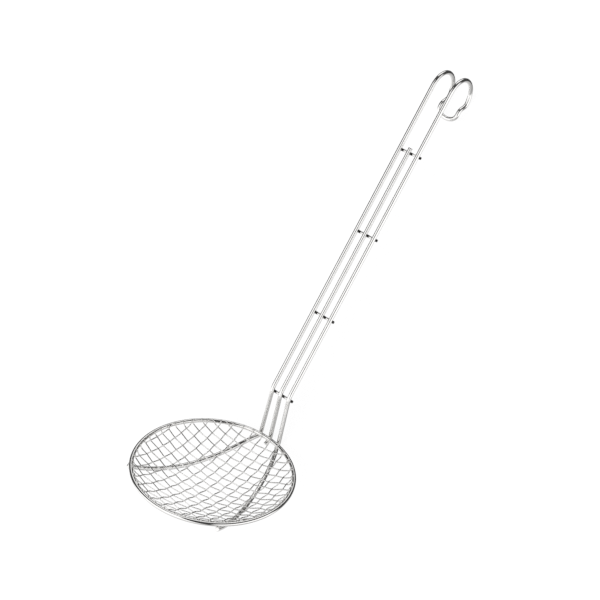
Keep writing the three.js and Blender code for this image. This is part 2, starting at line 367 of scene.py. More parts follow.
def wire_grain(grid, centres, radius, sides):
    """The place of each vertex in a straightened copy of its wire: the circle in X and Y, and the length
    along the wire in Z."""
    angle = np.linspace(0.0, 2 * np.pi, sides, endpoint=False)[None, :]
    along = np.broadcast_to(running_length(centres)[:, None], grid.shape[:2])
    return np.stack(np.broadcast_arrays(radius * np.cos(angle), radius * np.sin(angle), along), axis=-1)


# %% A bent wire with two cut ends
SHARPEST_TURN = math.radians(5)


def bent_wire(points, diameter, sides, bend_spread, longest_step, corner):
    """A closed wire along a line of points of the basket's frame: softened, ringed and cut."""
    centres = ring_centres(softened(points, bend_spread), longest_step, SHARPEST_TURN)
    direction = unit(np.gradient(centres, axis=0))
    sideways = carried_sideways(direction)
    parts = with_cut_ends(centres, direction, sideways, diameter / 2, corner)
    grid = rings(*parts, sides)
    return capped_shape(grid, wire_grain(grid, parts[0], diameter / 2, sides))


# %% [markdown]
# ## Bright nickel
# Nickel plating takes on the surface of the wire below it. Round wire is pulled through dies, which
# leaves fine lines along its length, so the reflection is sharp across the wire and a little smeared
# along it. Plating is also never quite even: it is cloudier here and there, and duller at the welds.
# On the bars the same mask paints shade, nearly black, beside each handle wire.
# These effects are node groups that all the nickel finishes use, each with its own values.


# %% Helpers for node trees
def new_node(tree, kind, **settings):
    """A new node of a tree with its settings."""
    node = tree.nodes.new(kind)
    for name, value in settings.items():
        setattr(node, name, value)
    return node


def new_group(name, inputs, outputs):
    """An empty node group with number inputs of given default values, and number outputs."""
    group = bpy.data.node_groups.new(name, "ShaderNodeTree")
    for label, value in inputs.items():
        socket = group.interface.new_socket(label, in_out="INPUT", socket_type="NodeSocketFloat")
        socket.default_value = value
    for label in outputs:
        group.interface.new_socket(label, in_out="OUTPUT", socket_type="NodeSocketFloat")
    return group, new_node(group, "NodeGroupInput"), new_node(group, "NodeGroupOutput")


def feed(tree, socket, value):
    """Gives a socket its value: a number or a colour is set on it, and an output is linked to it."""
    if isinstance(value, float):
        socket.default_value = value
    elif isinstance(value, tuple):
        socket.default_value = (*value, 1.0)
    else:
        tree.links.new(value, socket)


def worked_out(tree, operation, *values, clamped=False):
    """The result of a Math node. Each value is a number or an output."""
    node = new_node(tree, "ShaderNodeMath", operation=operation, use_clamp=clamped)
    for socket, value in zip(node.inputs, values):
        feed(tree, socket, value)
    return node.outputs["Value"]


def noise_at(tree, place, scale, detail):
    """The value of soft noise at a place. The scale is a number or an output."""
    noise = new_node(tree, "ShaderNodeTexNoise")
    feed(tree, noise.inputs["Vector"], place)
    feed(tree, noise.inputs["Scale"], scale)
    feed(tree, noise.inputs["Detail"], detail)
    return noise.outputs["Fac"]


# %% Lines left by the drawing dies
def drawing_lines_group():
    """Lines along the wire: noise on the wire's grain, fine around it and stretched along it."""
    group, entry, leave = new_group("drawing_lines", {"Around": 5000.0, "Along": 60.0}, ["Lines"])
    grain = new_node(group, "ShaderNodeAttribute", attribute_name="wire_grain")
    fineness = new_node(group, "ShaderNodeCombineXYZ")
    for axis, label in (("X", "Around"), ("Y", "Around"), ("Z", "Along")):
        group.links.new(entry.outputs[label], fineness.inputs[axis])
    stretched = new_node(group, "ShaderNodeVectorMath", operation="MULTIPLY")
    group.links.new(grain.outputs["Vector"], stretched.inputs[0])
    group.links.new(fineness.outputs["Vector"], stretched.inputs[1])
    lines = noise_at(group, stretched.outputs["Vector"], scale=1.0, detail=3.0)
    group.links.new(lines, leave.inputs["Lines"])
    return group


# %% Uneven plating
NOISE_MIDDLE = 0.5


def plating_cloud_group():
    """Cloudy patches: soft noise in the piece's own space, sharpened a little about its middle value."""
    group, entry, leave = new_group("plating_cloud", {"Fineness": 90.0, "Contrast": 1.6}, ["Cloud"])
    place = new_node(group, "ShaderNodeTexCoord").outputs["Object"]
    noise = noise_at(group, place, entry.outputs["Fineness"], detail=4.0)
    centred = worked_out(group, "SUBTRACT", noise, NOISE_MIDDLE)
    stretched = worked_out(group, "MULTIPLY", centred, entry.outputs["Contrast"])
    lifted = worked_out(group, "ADD", stretched, NOISE_MIDDLE, clamped=True)
    group.links.new(lifted, leave.inputs["Cloud"])
    return group


# %% Dull plating at the welds, and painted shade on the bars
DULL_AMOUNT = 0.6


def weld_dulling_group():
    """Dullness near a weld, and on the bars painted shade beside each handle wire: the weld value of the
    piece, broken up by fine noise.
    """
    group, entry, leave = new_group("weld_dulling_and_shade", {"Fineness": 700.0, "Amount": DULL_AMOUNT}, ["Dull"])
    weld = new_node(group, "ShaderNodeAttribute", attribute_name="weld").outputs["Fac"]
    place = new_node(group, "ShaderNodeTexCoord").outputs["Object"]
    noise = noise_at(group, place, entry.outputs["Fineness"], detail=2.0)
    broken = worked_out(group, "MULTIPLY", weld, noise)
    amount = worked_out(group, "MULTIPLY", broken, entry.outputs["Amount"], clamped=True)
    group.links.new(amount, leave.inputs["Dull"])
    return group


drawing_lines = drawing_lines_group()
plating_cloud = plating_cloud_group()
weld_dulling_and_shade = weld_dulling_group()
print("shared effects:", [group.name for group in bpy.data.node_groups])


# %% The nickel itself
# A Mix node lists its sockets for numbers first, then those for vectors, then those for colours.
MIX_FIRST_COLOUR = 6
MIX_SECOND_COLOUR = 7
MIX_RESULT_COLOUR = 2
LINE_STRENGTH = 0.25


def place_group(tree, group, **values):
    """A shared effect in a material's tree, with the material's own values."""
    node = new_node(tree, "ShaderNodeGroup", node_tree=group)
    for label, value in values.items():
        node.inputs[label].default_value = value
    return node


def mixed_colour(tree, factor, first, second):
    """A mix of two colours. Each is a colour or an output, and the factor is an output."""
    mix = new_node(tree, "ShaderNodeMix", data_type="RGBA")
    feed(tree, mix.inputs["Factor"], factor)
    feed(tree, mix.inputs[MIX_FIRST_COLOUR], first)
    feed(tree, mix.inputs[MIX_SECOND_COLOUR], second)
    return mix.outputs[MIX_RESULT_COLOUR]


def nickel(name, bright, cloudy, weld_grey_and_shade, smooth, rough, line_depth, fineness, weld_amount=DULL_AMOUNT):
    """Bright nickel plating. The colour goes from bright to cloudy and, at welds, to grey. On the bars
    that grey is nearly black, painted shade beside each handle wire. The roughness goes from smooth to
    rough with the drawing lines and the cloud, and the lines are also a fine bump."""
    material = bpy.data.materials.new(name)
    material.use_nodes = True
    tree = material.node_tree
    surface = tree.nodes["Principled BSDF"]
    surface.inputs["Metallic"].default_value = 1.0
    lines = place_group(tree, drawing_lines, Around=fineness).outputs["Lines"]
    cloud = place_group(tree, plating_cloud).outputs["Cloud"]
    # On the bars this mask also carries painted shade beside each handle wire.
    dull = place_group(tree, weld_dulling_and_shade, Amount=weld_amount).outputs["Dull"]
    plated = mixed_colour(tree, cloud, bright, cloudy)
    tree.links.new(mixed_colour(tree, dull, plated, weld_grey_and_shade), surface.inputs["Base Color"])
    uneven = worked_out(tree, "MULTIPLY", lines, cloud)
    duller = worked_out(tree, "ADD", uneven, dull, clamped=True)
    roughness = new_node(tree, "ShaderNodeMapRange")
    roughness.inputs["To Min"].default_value = smooth
    roughness.inputs["To Max"].default_value = rough
    tree.links.new(duller, roughness.inputs["Value"])
    tree.links.new(roughness.outputs["Result"], surface.inputs["Roughness"])
    bump = new_node(tree, "ShaderNodeBump")
    bump.inputs["Strength"].default_value = LINE_STRENGTH
    bump.inputs["Distance"].default_value = line_depth
    tree.links.new(lines, bump.inputs["Height"])
    tree.links.new(bump.outputs["Normal"], surface.inputs["Normal"])
    return material


# %% The four finishes
FRAME_TONES = {"bright": (0.94, 0.935, 0.925), "cloudy": (0.88, 0.872, 0.855)}
THICK_WIRE = {"smooth": 0.05, "line_depth": 0.02 * MM, "fineness": 5000.0}

frame_nickel = nickel(
    "frame_nickel",
    **FRAME_TONES,
    **THICK_WIRE,
    weld_grey_and_shade=(0.50, 0.485, 0.46),
    rough=0.16,
)
bar_nickel_painted_shade = nickel(
    "bar_nickel_painted_shade",
    **FRAME_TONES,
    **THICK_WIRE,
    # This grey and the strong weld amount below paint shade, nearly black, on the bars beside each handle
    # wire.
    weld_grey_and_shade=(0.035, 0.033, 0.031),
    rough=0.30,
    weld_amount=2.6,
)
rim_nickel = nickel(
    "rim_nickel",
    **THICK_WIRE,
    bright=(0.93, 0.925, 0.915),
    cloudy=(0.87, 0.862, 0.845),
    weld_grey_and_shade=(0.48, 0.465, 0.44),
    rough=0.18,
)
mesh_nickel = nickel(
    "mesh_nickel",
    bright=(0.92, 0.915, 0.905),
    cloudy=(0.86, 0.852, 0.835),
    weld_grey_and_shade=(0.46, 0.445, 0.42),
    smooth=0.06,
    rough=0.18,
    line_depth=0.01 * MM,
    fineness=9000.0,
    weld_amount=0.2,
)
SLOT_MATERIALS = {
    "frame_nickel": frame_nickel,
    "rim_nickel": rim_nickel,
    "mesh_nickel": mesh_nickel,
}
print("finishes:", [material.name for material in (frame_nickel, bar_nickel_painted_shade, rim_nickel, mesh_nickel)])

# %% [markdown]
# ## Where the welds are
# Four sets of welds hold the skimmer together: bars to handle wires, handle wires to the outside of the
# rim, the ribs' tips to its underside, and the mesh to its inside. Their places come first, because the
# plating of every wire is dulled by its distance to the nearest one, and the bars are painted with
# shade, nearly black, beside the handle wires.

# %% The handle in side view
bend_angle = LOWER_LEAN - HANDLE_LEAN
bend_half = BEND_RADIUS * bend_angle / 2
foot_x = RIM_RADIUS + rim_to_handle * math.sin(LOWER_LEAN)
foot_z = -rim_to_handle * math.cos(LOWER_LEAN)
lower_direction = np.array([math.cos(LOWER_LEAN), 0.0, math.sin(LOWER_LEAN)])
handle_direction = np.array([math.cos(HANDLE_LEAN), 0.0, math.sin(HANDLE_LEAN)])
bend_corner = np.array([foot_x + (BEND_HEIGHT - foot_z) / math.tan(LOWER_LEAN), 0.0, BEND_HEIGHT])
bend_start = bend_corner - lower_direction * BEND_RADIUS * math.tan(bend_angle / 2)
bend_centre = bend_start + BEND_RADIUS * np.array([math.sin(LOWER_LEAN), 0.0, -math.cos(LOWER_LEAN)])


def on_handle(distance, y, back):
    """Points at distances along the handle, counted from the middle of its bend. On the bend's arc the
    point is the arc's centre less the radius times the direction to the handle's back. Past either end
    of the arc it goes straight on. It is then moved by so much towards the back, and sideways to y."""
    distance, y, back = np.broadcast_arrays(distance, y, back)
    lean = LOWER_LEAN - np.clip((distance + bend_half) / (2 * bend_half), 0.0, 1.0) * bend_angle
    to_back = np.stack([np.sin(lean), np.zeros_like(lean), -np.cos(lean)], axis=-1)
    point = bend_centre + to_back * (back - BEND_RADIUS)[..., None]
    point = point + np.maximum(distance - bend_half, 0.0)[..., None] * handle_direction
    point = point + np.minimum(distance + bend_half, 0.0)[..., None] * lower_direction
    point[..., 1] = y
    return point


bar_places = LOWEST_BAR + BAR_PITCH * np.arange(BAR_COUNT)
wire_rows = np.array([-WIRE_SPACING, 0.0, WIRE_SPACING])
print("bars at", np.round(bar_places / MM, 1), "mm from the bend")


# %% The dish, and wires under it
def dish_point(x, y, lift):
    """Points of the dish over places in plan. The dish is a sphere round a centre above the basket, and
    each point is moved by its lift along the line to that centre."""
    x, y, lift = np.broadcast_arrays(x, y, lift)
    height = dish_centre - np.sqrt(dish_radius**2 - x**2 - y**2)
    point = np.stack([x, y, height], axis=-1)
    inward = (np.array([0.0, 0.0, dish_centre]) - point) / dish_radius
    return point + inward * lift[..., None]


def under_basket(x, y):
    """Points of a handle wire under the mesh. Its drop below the dish goes from just clear of the mesh
    to just clear of the rim wire, with the fourth power of the distance from the middle."""
    below_mesh = crimp + mesh_radius + WELD_GAP + handle_radius
    near_rim = np.minimum(np.hypot(x, y) / RIM_RADIUS, 1.0) ** 4
    return dish_point(x, y, -(below_mesh + (rim_to_handle - below_mesh) * near_rim))


def round_rim(bearing, angle, distance):
    """Points round the rim wire at a bearing: an angle below the rim's plane and a distance from the
    middle of the wire, in the upright plane through the basket's axis."""
    bearing, angle, distance = np.broadcast_arrays(bearing, angle, distance)
    radius = RIM_RADIUS + distance * np.cos(angle)
    height = distance * np.sin(angle)
    return np.stack([radius * np.cos(bearing), radius * np.sin(bearing), height], axis=-1)


# %% Wires of a mesh family
def plan_directions(family):
    """The direction along a family's wires in plan, and the direction across them."""
    turn = family["turn"]
    along = np.array([math.cos(turn), math.sin(turn)])
    return along, np.array([-along[1], along[0]])


def family_lines(family, reach):
    """The numbers of a family's wires, and their distances from the middle in plan. They are evenly
    spaced over the curve of the dish: an arc of that length has the sine of its angle as distance."""
    last = int(dish_radius * math.pi / 2 / family["pitch"])
    number = np.arange(-last, last + 1)
    arc = family["shift"] + number * family["pitch"]
    offset = dish_radius * np.sin(arc / dish_radius)
    kept = (np.abs(arc) < dish_radius * math.pi / 2) & (np.abs(offset) < reach)
    return number[kept], offset[kept]


def wire_name(family, number):
    """A wire is named by its side of the family's middle wire, and counted from there."""
    if number == 0:
        return f"{family['name']}_middle"
    side = family["sides"][0] if number > 0 else family["sides"][1]
    return f"{family['name']}_{side}_{abs(number)}"


mesh_reach = math.sqrt(RIM_RADIUS**2 - (SHORTEST_MESH_WIRE / 2) ** 2)

# %% Where a mesh wire's ends fold over the rim
FOLD_PRESS = 0.15 * MM
FOLD_ANGLE = math.radians(75)
fold_radius = rim_radius + mesh_radius - FOLD_PRESS


def fold_points(family, offset, end, angle):
    """Points of a mesh wire's end where it lies on the rim wire, at angles above the rim's inner side.
    The end stays in the wire's own upright plane, at the place where that plane has the right distance
    from the basket's axis."""
    along, across = plan_directions(family)
    radius = RIM_RADIUS - fold_radius * np.cos(angle)
    place = end * np.sqrt(radius**2 - offset**2)
    height = fold_radius * np.sin(angle)
    plan = across * offset + along * place[:, None]
    return np.concatenate([plan, height[:, None]], axis=1)


# %% The weld places
foot_bearing = math.asin((WIRE_SPACING + FOOT_SPREAD) / foot_x)
foot_bearings = np.array([-foot_bearing, 0.0, foot_bearing])
WELD_MIDDLE = math.radians(-42)

bar_weld_places = np.concatenate(
    [on_handle(place, wire_rows, handle_radius) for place in bar_places]
)
foot_weld_places = round_rim(foot_bearings, WELD_MIDDLE, rim_radius)
tip_bearings = np.array([-RIB_TIP_BEARING, RIB_TIP_BEARING])
under_rim = -(math.pi / 2 - rim_slope)
tip_weld_places = round_rim(tip_bearings, under_rim, rim_radius)
mesh_weld_places = np.concatenate(
    [
        fold_points(family, offset, end, np.array([FOLD_ANGLE / 2]))
        for family in (LONG_WIRES, CROSS_WIRES)
        for offset in family_lines(family, mesh_reach)[1]
        for end in (-1, 1)
    ]
)
frame_weld_places = np.concatenate([bar_weld_places, foot_weld_places, tip_weld_places])
print("welds on the frame:", len(frame_weld_places), "and on the mesh:", len(mesh_weld_places))

# %% [markdown]
# ## Making a piece
# Each piece is laid on the table, gets its vertex attributes and its finish, rides on the skimmer's one
# body and hides the solid that it stands for. Every wire is smooth-shaded, since its rounding is real.

# %% Build a piece from a shape
DULL_SPREAD = (3.0 * MM, 2)
# Spread of the painted shade on the bars: a nearly black patch with a clear edge beside each handle wire.
WIRE_SHADE_SPREAD = (3.6 * MM, 12)


def weld_nearness(points, welds, spread):
    """1 at a weld, falling with the distance to the nearest one. The spread is the distance at which it
    has fallen to about a third, and a power: 2 gives a bell curve, and more a patch with a clear edge."""
    reach, power = spread
    nearest = np.full(len(points), np.inf)
    for weld in welds:
        nearest = np.minimum(nearest, np.linalg.norm(points - weld, axis=1))
    return np.exp(-((nearest / reach) ** power))


def make_piece(name, shape, slot, welds, replaced=(), finish=None, spread=DULL_SPREAD):
    """A mesh object of a shape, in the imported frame, with its finish, its body and what it replaces. The
    finish is the slot's own unless another is given."""
    mesh = bpy.data.meshes.new(name)
    mesh.from_pydata(lay_on_table(shape["points"]).tolist(), [], shape["faces"])
    mesh.polygons.foreach_set("use_smooth", np.ones(len(mesh.polygons), dtype=bool))
    grain = mesh.attributes.new("wire_grain", "FLOAT_VECTOR", "POINT")
    grain.data.foreach_set("vector", shape["grain"].astype(np.float32).ravel())
    weld = mesh.attributes.new("weld", "FLOAT", "POINT")
    weld.data.foreach_set("value", weld_nearness(shape["points"], welds, spread).astype(np.float32))
    mesh.materials.append(finish or SLOT_MATERIALS[slot])
    mesh.update()
    piece = put_in_scene(name, mesh)
    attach(piece, "root")
    if replaced:
        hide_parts(*replaced)
    return piece


# %% [markdown]
# ## The rim ring
# The rim is one length of wire, rolled to a circle and butt-welded. The joint is ground flush but never
# quite disappears, so the ring swells by a tenth of a millimetre there. It sits between two handle
# wires, where a maker hides it.

# %% Roll the ring
RIM_STEPS = 288
RIM_SIDES = 24
BUTT_BEARING = foot_bearing / 2
BUTT_SWELL = 0.10 * MM
BUTT_LENGTH = 1.2 * MM


def rim_shape():
    """A circle of rings round the basket's axis, closed end to end, with a bell-shaped swelling of the
    wire at the butt weld."""
    bearing = np.linspace(0.0, 2 * np.pi, RIM_STEPS, endpoint=False)
    centres = round_rim(bearing, 0.0, 0.0)
    direction = np.stack([-np.sin(bearing), np.cos(bearing), np.zeros(RIM_STEPS)], axis=1)
    sideways = np.stack([np.zeros(RIM_STEPS), np.zeros(RIM_STEPS), np.ones(RIM_STEPS)], axis=1)
    from_butt = RIM_RADIUS * (np.mod(bearing - BUTT_BEARING + np.pi, 2 * np.pi) - np.pi)
    radii = rim_radius + BUTT_SWELL * np.exp(-((from_butt / BUTT_LENGTH) ** 2))
    grid = rings(centres, direction, sideways, radii, RIM_SIDES)
    grain = wire_grain(grid, centres, rim_radius, RIM_SIDES)
    faces = grid_faces(RIM_STEPS, RIM_SIDES, True).tolist()
    return {"points": grid.reshape(-1, 3), "grain": grain.reshape(-1, 3), "faces": faces}


rim_welds = np.concatenate([foot_weld_places, tip_weld_places, mesh_weld_places])
make_piece("rim_ring_wire", rim_shape(), "rim_nickel", rim_welds, ["rim_ring"])
print("rim ring rolled in", RIM_STEPS, "steps")

# %% [markdown]
# ## The woven mesh
# The mesh wires are crimped before they are woven: each is straight between two crossings and bends
# sharply over or under the wire that it crosses. At both ends it climbs the inner side of the rim wire
# and is pressed and welded on top of it. The line is a function of the place along the wire, so a whole
# wire is one array.

# %% Weave one wire
CRIMP_BEND = 0.55 * MM
FOLD_RISE = 3.0 * MM
MESH_SIDES = 10
MESH_STEP = 1.0 * MM
MESH_CORNER = 0.3 * MM
FOLD_STEPS = 9
RISE_STEPS = 12
RUN_STEPS = 600


def crimped_line(family, number, offset, other, place):
    """The dish points of a wire at places along it. Its lift goes in straight lines from one crossing to
    the next, above the dish at one and below it at the following one."""
    along, across = plan_directions(family)
    other_across = plan_directions(other)[1]
    other_numbers, other_offsets = family_lines(other, dish_radius)
    crossing = (other_offsets - offset * (other_across @ across)) / (other_across @ along)
    lift = crimp * family["over"] * np.where((number + other_numbers) % 2 == 0, 1.0, -1.0)
    order = np.argsort(crossing)
    plan = across * offset + along * place[:, None]
    return dish_point(plan[:, 0], plan[:, 1], np.interp(place, crossing[order], lift[order]))


def rise_points(start, start_direction, end, end_direction):
    """A smooth rise from the dish to the rim: a cubic with given ends and directions there, both as long
    as the straight way."""
    t = np.linspace(0.0, 1.0, RISE_STEPS)[1:-1, None]
    length = np.linalg.norm(end - start)
    return (
        (2 * t**3 - 3 * t**2 + 1) * start
        + (t**3 - 2 * t**2 + t) * length * start_direction
        + (3 * t**2 - 2 * t**3) * end
        + (t**3 - t**2) * length * end_direction
    )


def woven_wire(family, number, offset, other):
    """One wire of the mesh: the crimped run over the dish, and at each end the rise and the fold."""
    fold_angle = np.linspace(0.0, FOLD_ANGLE, FOLD_STEPS)
    folds = [fold_points(family, offset, end, fold_angle) for end in (-1, 1)]
    inner_radius = RIM_RADIUS - fold_radius
    leave = math.sqrt(inner_radius**2 - offset**2) - FOLD_RISE
    run = crimped_line(family, number, offset, other, np.linspace(-leave, leave, RUN_STEPS))
    upright = np.array([0.0, 0.0, 1.0])
    first_rise = rise_points(run[0], unit(run[0] - run[1]), folds[0][0], upright)
    last_rise = rise_points(run[-1], unit(run[-1] - run[-2]), folds[1][0], upright)
    points = np.concatenate([folds[0][::-1], first_rise[::-1], run, last_rise, folds[1]])
    return bent_wire(points, MESH_WIRE, MESH_SIDES, CRIMP_BEND, MESH_STEP, MESH_CORNER)


mesh_faces = 0
for family, other in ((LONG_WIRES, CROSS_WIRES), (CROSS_WIRES, LONG_WIRES)):
    for number, offset in zip(*family_lines(family, mesh_reach)):
        node = wire_name(family, int(number))
        shape = woven_wire(family, number, offset, other)
        make_piece(f"{node}_crimped", shape, "mesh_nickel", mesh_weld_places, [node])
        mesh_faces += len(shape["faces"])
print("mesh woven with", mesh_faces, "faces")

# %% [markdown]
# ## The handle
# The outer handle wire is a single length: a rib under the basket, a turn round the outside of the rim,
# the handle, the hook, a rounded end, and the same again on the other side. Only half of the line is
# drawn, and the other half is its mirror image. The centre wire is shorter, with a stub under the rim
# and a cut end just past the highest bar.

# %% Lines of the outer handle wire
CURVE_STEPS = 80


def rib_line(bearing):
    """A rib in plan is a parabola (a quadratic curve) from its tip at the far rim to its root by the
    handle, with a corner point where its two end directions meet."""
    tip = RIM_RADIUS * np.array([math.cos(RIB_TIP_BEARING), math.sin(RIB_TIP_BEARING)])
    root = RIM_RADIUS * np.array([math.cos(bearing), math.sin(bearing)])
    leaving = math.tan(RIB_LEAVES)
    arriving = math.tan(RIB_ARRIVES)
    corner_x = (root[1] - tip[1] + leaving * root[0] - arriving * tip[0]) / (leaving - arriving)
    corner = np.array([corner_x, root[1] + leaving * (root[0] - corner_x)])
    t = np.linspace(0.0, 1.0, CURVE_STEPS)[:, None]
    plan = (1 - t) ** 2 * tip + 2 * t * (1 - t) * corner + t**2 * root
    return under_basket(plan[:, 0], plan[:, 1])


def rim_turn(bearing):
    """The turn from under the rim to its outside: an arc round the rim wire."""
    outside = -(math.pi / 2 - LOWER_LEAN)
    return round_rim(bearing, np.linspace(under_rim, outside, CURVE_STEPS)[1:], rim_to_handle)


def bend_line(y):
    """The bend between the handle's lower part and its long part."""
    return on_handle(np.linspace(-bend_half, bend_half, CURVE_STEPS), y, 0.0)


def hook_line():
    """The hook: half a turn to the back, an S-shaped step in towards the handle, and a quarter of the
    ellipse that rounds off its end."""
    half_turn = np.linspace(0.0, np.pi, CURVE_STEPS)
    crown = on_handle(
        HANDLE_LENGTH + HOOK_RADIUS * np.sin(half_turn),
        WIRE_SPACING,
        HOOK_RADIUS * (1.0 - np.cos(half_turn)),
    )
    share = np.linspace(0.0, 1.0, CURVE_STEPS)[1:]
    step_in = HOOK_TUCK * share**2 * (3.0 - 2.0 * share)
    tuck = on_handle(HANDLE_LENGTH - HOOK_TUCK_LENGTH * share, WIRE_SPACING, 2 * HOOK_RADIUS - step_in)
    quarter_turn = np.linspace(0.0, np.pi / 2, CURVE_STEPS)
    depth = HOOK_END_DEPTH * np.sin(quarter_turn)
    tail = HANDLE_LENGTH - HOOK_TUCK_LENGTH - HOOK_TAIL
    end = on_handle(
        tail - depth * math.cos(HOOK_END_TILT),
        WIRE_SPACING * np.cos(quarter_turn),
        2 * HOOK_RADIUS - HOOK_TUCK + depth * math.sin(HOOK_END_TILT),
    )
    return np.concatenate([crown, tuck, end])


# %% Bend the handle wires
HANDLE_SIDES = 24
HANDLE_STEP = 2.5 * MM
BEND_SPREAD = 1.2 * MM
HANDLE_CORNER = 0.5 * MM
MIRROR = np.array([1.0, -1.0, 1.0])

left_half = np.concatenate(
    [rib_line(foot_bearing), rim_turn(foot_bearing), bend_line(WIRE_SPACING), hook_line()]
)
outer_line = np.concatenate([left_half, left_half[-2::-1] * MIRROR])
outer_shape = bent_wire(
    outer_line, HANDLE_WIRE, HANDLE_SIDES, BEND_SPREAD, HANDLE_STEP, HANDLE_CORNER
)
make_piece("handle_wire_bent", outer_shape, "frame_nickel", frame_weld_places, ["handle_wire"])

stub = under_basket(np.array([RIM_RADIUS - CENTRE_STUB, RIM_RADIUS]), np.zeros(2))
centre_top = on_handle(np.array([CENTRE_WIRE_LENGTH]), 0.0, 0.0)
centre_line = np.concatenate([stub, rim_turn(0.0), bend_line(0.0), centre_top])
centre_shape = bent_wire(
    centre_line, HANDLE_WIRE, HANDLE_SIDES, BEND_SPREAD, HANDLE_STEP, HANDLE_CORNER
)
make_piece("centre_wire_bent", centre_shape, "frame_nickel", frame_weld_places, ["centre_wire"])
print(f"outer handle wire: {running_length(outer_line)[-1]:.3f} m of wire")
print(f"centre handle wire: {running_length(centre_line)[-1]:.3f} m of wire")

# %% [markdown]
# ## Cross bars
# Four short lengths of thinner wire are welded across the back of the handle. Their ends are cut just
# past the outer wires. For a few millimetres beside each handle wire the bars are painted nearly black:
# this is painted shade, the dark side of the handle wire mirrored in the bar beside it.

# %% Cut the bars
BAR_SIDES = 20
BAR_STEP = 0.5 * MM
BAR_CORNER = 0.35 * MM
bar_back = handle_radius + WELD_GAP + bar_radius
bar_half = WIRE_SPACING + handle_radius + BAR_OVERHANG
# The bars' finish and this spread paint shade, nearly black, on each bar beside each handle wire.
SHADED_BESIDE_WIRES = {"finish": bar_nickel_painted_shade, "spread": WIRE_SHADE_SPREAD}

for count, place in enumerate(bar_places):
    bar_line = on_handle(place, np.array([-bar_half, bar_half]), bar_back)
    bar_shape = bent_wire(bar_line, BAR_WIRE, BAR_SIDES, BEND_SPREAD, BAR_STEP, BAR_CORNER)
    node = f"cross_bar_{count + 1}"
    make_piece(f"{node}_wire", bar_shape, "frame_nickel", bar_weld_places, [node], **SHADED_BESIDE_WIRES)
print(BAR_COUNT, "bars of", round(2 * bar_half / MM, 1), "mm")

# %% [markdown]
# ## Weld beads
# A resistance weld squeezes two wires together, and a little metal swells out round the contact. Each
# bead is an ellipsoid whose radius ripples slightly round its axis, set in the gap between two wires.

# %% Beads as squeezed ellipsoids
BEAD_RINGS = 7
BEAD_SIDES = 12
BEAD_RIPPLE = 0.06
BEAD_LOBES = 3


def bead_shape(middle, axes, sizes, phase):
    """An ellipsoid with its half sizes along three axes. Latitude runs from pole to pole along the first
    axis, and the radius ripples with a cosine of the longitude."""
    latitude = np.linspace(-np.pi / 2, np.pi / 2, BEAD_RINGS + 2)[1:-1, None]
    longitude = np.linspace(0.0, 2 * np.pi, BEAD_SIDES, endpoint=False)[None, :]
    ripple = 1.0 + BEAD_RIPPLE * np.cos(BEAD_LOBES * longitude + phase)
    place = [
        np.sin(latitude) * np.ones_like(longitude) * sizes[0],
        np.cos(latitude) * np.cos(longitude) * ripple * sizes[1],
        np.cos(latitude) * np.sin(longitude) * ripple * sizes[2],
    ]
    grid = middle + sum(part[..., None] * axis for part, axis in zip(place, axes))
    shape = capped_shape(grid, grid - middle)
    poles = np.array([[-sizes[0]], [sizes[0]]]) * axes[0]
    shape["points"][-2:] = middle + poles
    return shape


SIDE = np.array([0.0, 1.0, 0.0])


# %% Beads between bars and handle wires
BAR_BEAD_SIZES = (1.75 * MM, 1.55 * MM, 0.85 * MM)


def bar_bead(place, y, count):
    """A bead in the gap between a bar and a handle wire: long along both wires, thin between them."""
    surface = on_handle(np.array([place]), y, handle_radius + WELD_GAP / 2)[0]
    axis_points = on_handle(np.array([place - MM, place + MM]), y, 0.0)
    along = unit(axis_points[1] - axis_points[0])
    return bead_shape(surface, (along, SIDE, np.cross(along, SIDE)), BAR_BEAD_SIZES, count)


bar_beads = [
    bar_bead(place, y, len(wire_rows) * bar + row)
    for bar, place in enumerate(bar_places)
    for row, y in enumerate(wire_rows)
]
# The beads on the bars take the same painted shade.
make_piece("bar_welds", joined(bar_beads), "frame_nickel", bar_weld_places, **SHADED_BESIDE_WIRES)
print(len(bar_beads), "beads on the bars")

# %% Beads between the rim and the handle wires
RIM_BEAD_SIZES = (2.2 * MM, 1.9 * MM, 0.8 * MM)


def rim_bead(bearing, angle, count):
    """A bead in the gap between the rim and a handle wire: long along both, thin between them."""
    middle = round_rim(bearing, angle, rim_radius + WELD_GAP / 2)
    outward = unit(middle - round_rim(bearing, angle, 0.0))
    rimwards = np.array([-math.sin(bearing), math.cos(bearing), 0.0])
    return bead_shape(middle, (rimwards, np.cross(outward, rimwards), outward), RIM_BEAD_SIZES, count)


rim_weld_spots = [(bearing, WELD_MIDDLE) for bearing in foot_bearings]
rim_weld_spots += [(bearing, under_rim) for bearing in tip_bearings]
rim_beads = [rim_bead(*spot, count) for count, spot in enumerate(rim_weld_spots)]
make_piece("rim_welds", joined(rim_beads), "frame_nickel", frame_weld_places)
print(len(rim_beads), "beads on the rim")

# %% [markdown]
# ## Floor and studio
# Bright wire looks like what surrounds it. Here that is a white table below the basket, white panels
# round it and a dark room between them, which makes wire white nearly all over, with thin dark lines
# where it mirrors the room. The photograph shows the skimmer with its basket level, so the table, the
# panels and the room are tipped together with it. The floor under it only takes its shadow.

# %% Lay the floor
FLOOR_SIZE = 8.0
FLOOR_DROP = 0.2 * MM
FLOOR_SHADE = 0.20
FLOOR_GLOW = 0.90

floor_corners = np.array([[-1, -1, 0], [1, -1, 0], [1, 1, 0], [-1, 1, 0]]) * FLOOR_SIZE / 2
floor_mesh = bpy.data.meshes.new("floor")
floor_mesh.from_pydata((floor_corners - [0, 0, FLOOR_DROP]).tolist(), [], [[0, 1, 2, 3]])
floor = put_in_scene("floor", floor_mesh)
floor.visible_glossy = False


